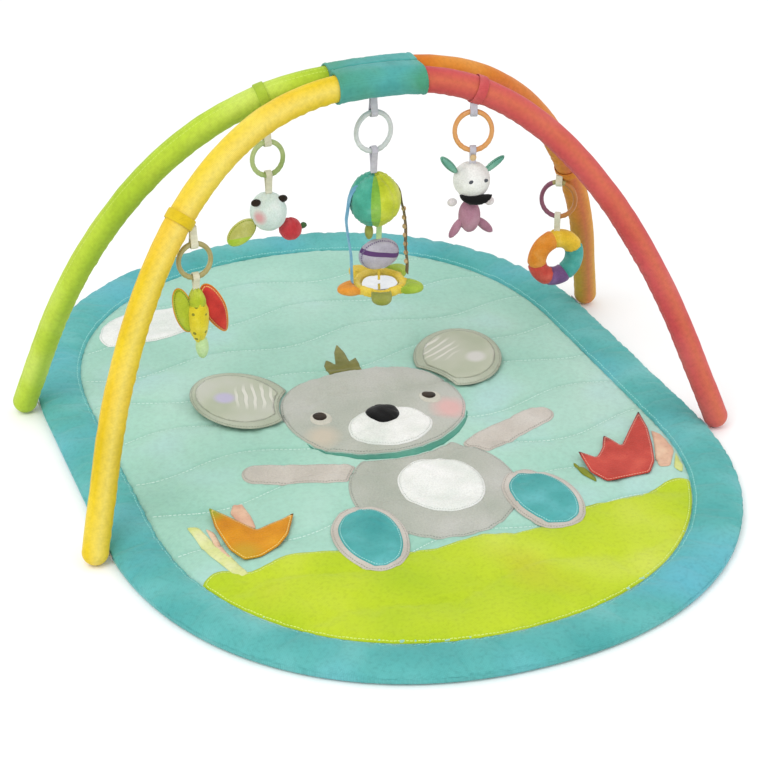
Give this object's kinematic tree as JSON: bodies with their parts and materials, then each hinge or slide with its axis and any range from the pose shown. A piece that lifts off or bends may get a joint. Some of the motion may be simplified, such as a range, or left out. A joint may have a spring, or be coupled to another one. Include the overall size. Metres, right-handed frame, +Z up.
{
  "type": "activity play gym",
  "caption": "Baby activity gym: an oval quilted floor mat with a soft animal print, leaning padded arches joined by a fabric cuff at the crown, and soft toys hanging from rings.",
  "frame": {"origin": "middle of the mat's underside, on the floor", "axes": "+Z up, +Y along the mat's long axis towards the printed animal's head end, +X across the mat, to the animal's right as seen from above"},
  "size_m": [0.8503, 1.0968, 0.4876],
  "materials": {
    "mint_cotton": "matte",
    "teal_cotton": "matte",
    "lime_cotton": "matte",
    "white_cotton": "matte",
    "grey_cotton": "matte",
    "black_cotton": "matte",
    "olive_cotton": "matte",
    "wadding": "soft",
    "orange_cotton": "matte",
    "red_cotton": "matte",
    "yellow_cotton": "matte",
    "green_cotton": "matte",
    "lining_print": "matte",
    "foam": "soft",
    "fibreglass": "satin",
    "ferrule_metal": "satin",
    "end_cap_plastic": "matte",
    "ring_olive": "gloss",
    "ring_grey": "gloss",
    "ring_tan": "gloss",
    "ring_purple": "gloss",
    "plush_white": "plush",
    "plush_mauve": "plush",
    "plush_yellow": "plush",
    "plush_rainbow": "plush",
    "mirror_foil": "polished",
    "webbing": "matte"
  },
  "bodies": {
    "mat": {"mat_backing": "mint_cotton", "mat_wadding": "wadding", "mat_top_panel": "mint_cotton", "mat_border": "teal_cotton", "foot_tabs": "webbing", "grass_panel": "lime_cotton", "cloud_patch": "white_cotton", "mouse_body": "grey_cotton", "mouse_arms": "grey_cotton", "mouse_feet": "grey_cotton", "mouse_soles": "teal_cotton", "mouse_belly": "white_cotton", "mouse_head": "grey_cotton", "mouse_muzzle": "white_cotton", "mouse_nose": "black_cotton", "mouse_eyes": "black_cotton", "mouse_tuft": "olive_cotton"},
    "left_ear": {"left_ear_cover": "grey_cotton", "left_ear_lining": "lining_print"},
    "right_ear": {"right_ear_cover": "grey_cotton", "right_ear_lining": "lining_print"},
    "orange_leaf": {"orange_leaf": "orange_cotton"},
    "red_leaf": {"red_leaf": "red_cotton"},
    "front_arch": {"front_pole_left": "fibreglass", "front_pole_right": "fibreglass", "front_ferrule": "ferrule_metal", "front_foam": "foam", "yellow_sleeve": "yellow_cotton", "red_sleeve": "red_cotton", "front_end_caps": "end_cap_plastic", "front_cuff": "teal_cotton", "front_toy_loops": "webbing"},
    "rear_arch": {"rear_pole_left": "fibreglass", "rear_pole_right": "fibreglass", "rear_ferrule": "ferrule_metal", "rear_foam": "foam", "green_sleeve": "green_cotton", "orange_sleeve": "orange_cotton", "rear_end_caps": "end_cap_plastic", "rear_cuff": "teal_cotton", "rear_toy_loops": "webbing"},
    "butterfly_ring": {"butterfly_ring": "ring_olive"},
    "butterfly_toy": {"butterfly_body": "plush_yellow", "butterfly_wings": "red_cotton"},
    "chick_ring": {"chick_ring": "ring_olive"},
    "chick_toy": {"chick_head": "plush_white", "chick_leaf": "green_cotton", "chick_ball": "red_cotton"},
    "centre_ring": {"centre_ring": "ring_grey"},
    "centre_toy": {"centre_dome": "plush_yellow", "centre_pad": "grey_cotton", "centre_ribbons": "webbing", "mirror_frame": "yellow_cotton", "mirror_disc": "mirror_foil"},
    "puppy_ring": {"puppy_ring": "ring_tan"},
    "puppy_toy": {"puppy_head": "plush_white", "puppy_muzzle": "black_cotton", "puppy_body": "plush_mauve"},
    "donut_ring": {"donut_ring": "ring_purple"},
    "donut_toy": {"donut_toy": "plush_rainbow"}
  },
  "joints": [
    {"name": "front_arch_fold", "type": "hinge", "parent": "mat", "child": "front_arch", "pos_m": [0, -0.17905, 0.036], "axis": [1, 0, 0], "range_deg": [0, 100]},
    {"name": "rear_arch_fold", "type": "hinge", "parent": "mat", "child": "rear_arch", "pos_m": [0, 0.19105, 0.036], "axis": [-1, 0, 0], "range_deg": [0, 100]},
    {"name": "left_ear_lift", "type": "hinge", "parent": "mat", "child": "left_ear", "pos_m": [-0.09652, 0.0474, 0.0154], "axis": [0.4524, 0.8918, 0], "range_deg": [0, 80]},
    {"name": "right_ear_lift", "type": "hinge", "parent": "mat", "child": "right_ear", "pos_m": [0.11452, 0.0474, 0.0154], "axis": [0.4524, -0.8918, 0], "range_deg": [0, 80]},
    {"name": "orange_leaf_lift", "type": "hinge", "parent": "mat", "child": "orange_leaf", "pos_m": [-0.245, -0.261, 0.0143], "axis": [1, 0, 0], "range_deg": [0, 80]},
    {"name": "red_leaf_lift", "type": "hinge", "parent": "mat", "child": "red_leaf", "pos_m": [0.243, -0.27, 0.0143], "axis": [1, 0, 0], "range_deg": [0, 80]},
    {"name": "butterfly_swing", "type": "hinge", "parent": "front_arch", "child": "butterfly_ring", "pos_m": [-0.237, -0.05662, 0.3235], "axis": [1, 0, 0], "range_deg": [-10, 30]},
    {"name": "butterfly_sway", "type": "hinge", "parent": "butterfly_ring", "child": "butterfly_toy", "pos_m": [-0.237, -0.05662, 0.302], "axis": [0, 1, 0], "range_deg": [-20, 20]},
    {"name": "chick_swing", "type": "hinge", "parent": "rear_arch", "child": "chick_ring", "pos_m": [-0.115, 0.03342, 0.3955], "axis": [1, 0, 0], "range_deg": [-25, 25]},
    {"name": "chick_sway", "type": "hinge", "parent": "chick_ring", "child": "chick_toy", "pos_m": [-0.115, 0.03342, 0.374], "axis": [0, 1, 0], "range_deg": [-20, 20]},
    {"name": "centre_swing", "type": "hinge", "parent": "rear_arch", "child": "centre_ring", "pos_m": [0.014, 0.0145, 0.421], "axis": [1, 0, 0], "range_deg": [-25, 25]},
    {"name": "centre_sway", "type": "hinge", "parent": "centre_ring", "child": "centre_toy", "pos_m": [0.014, 0.0145, 0.396], "axis": [0, 1, 0], "range_deg": [-15, 15]},
    {"name": "puppy_swing", "type": "hinge", "parent": "front_arch", "child": "puppy_ring", "pos_m": [0.128, -0.02513, 0.419], "axis": [0.9397, -0.342, 0], "range_deg": [-25, 25]},
    {"name": "puppy_sway", "type": "hinge", "parent": "puppy_ring", "child": "puppy_toy", "pos_m": [0.128, -0.02513, 0.394], "axis": [0.342, 0.9397, 0], "range_deg": [-20, 20]},
    {"name": "donut_swing", "type": "hinge", "parent": "rear_arch", "child": "donut_ring", "pos_m": [0.308, 0.09238, 0.248], "axis": [0.848, -0.5299, 0], "range_deg": [-28, 6]},
    {"name": "donut_sway", "type": "hinge", "parent": "donut_ring", "child": "donut_toy", "pos_m": [0.308, 0.09238, 0.223], "axis": [0.5299, 0.848, 0], "range_deg": [-18, 18]}
  ]
}
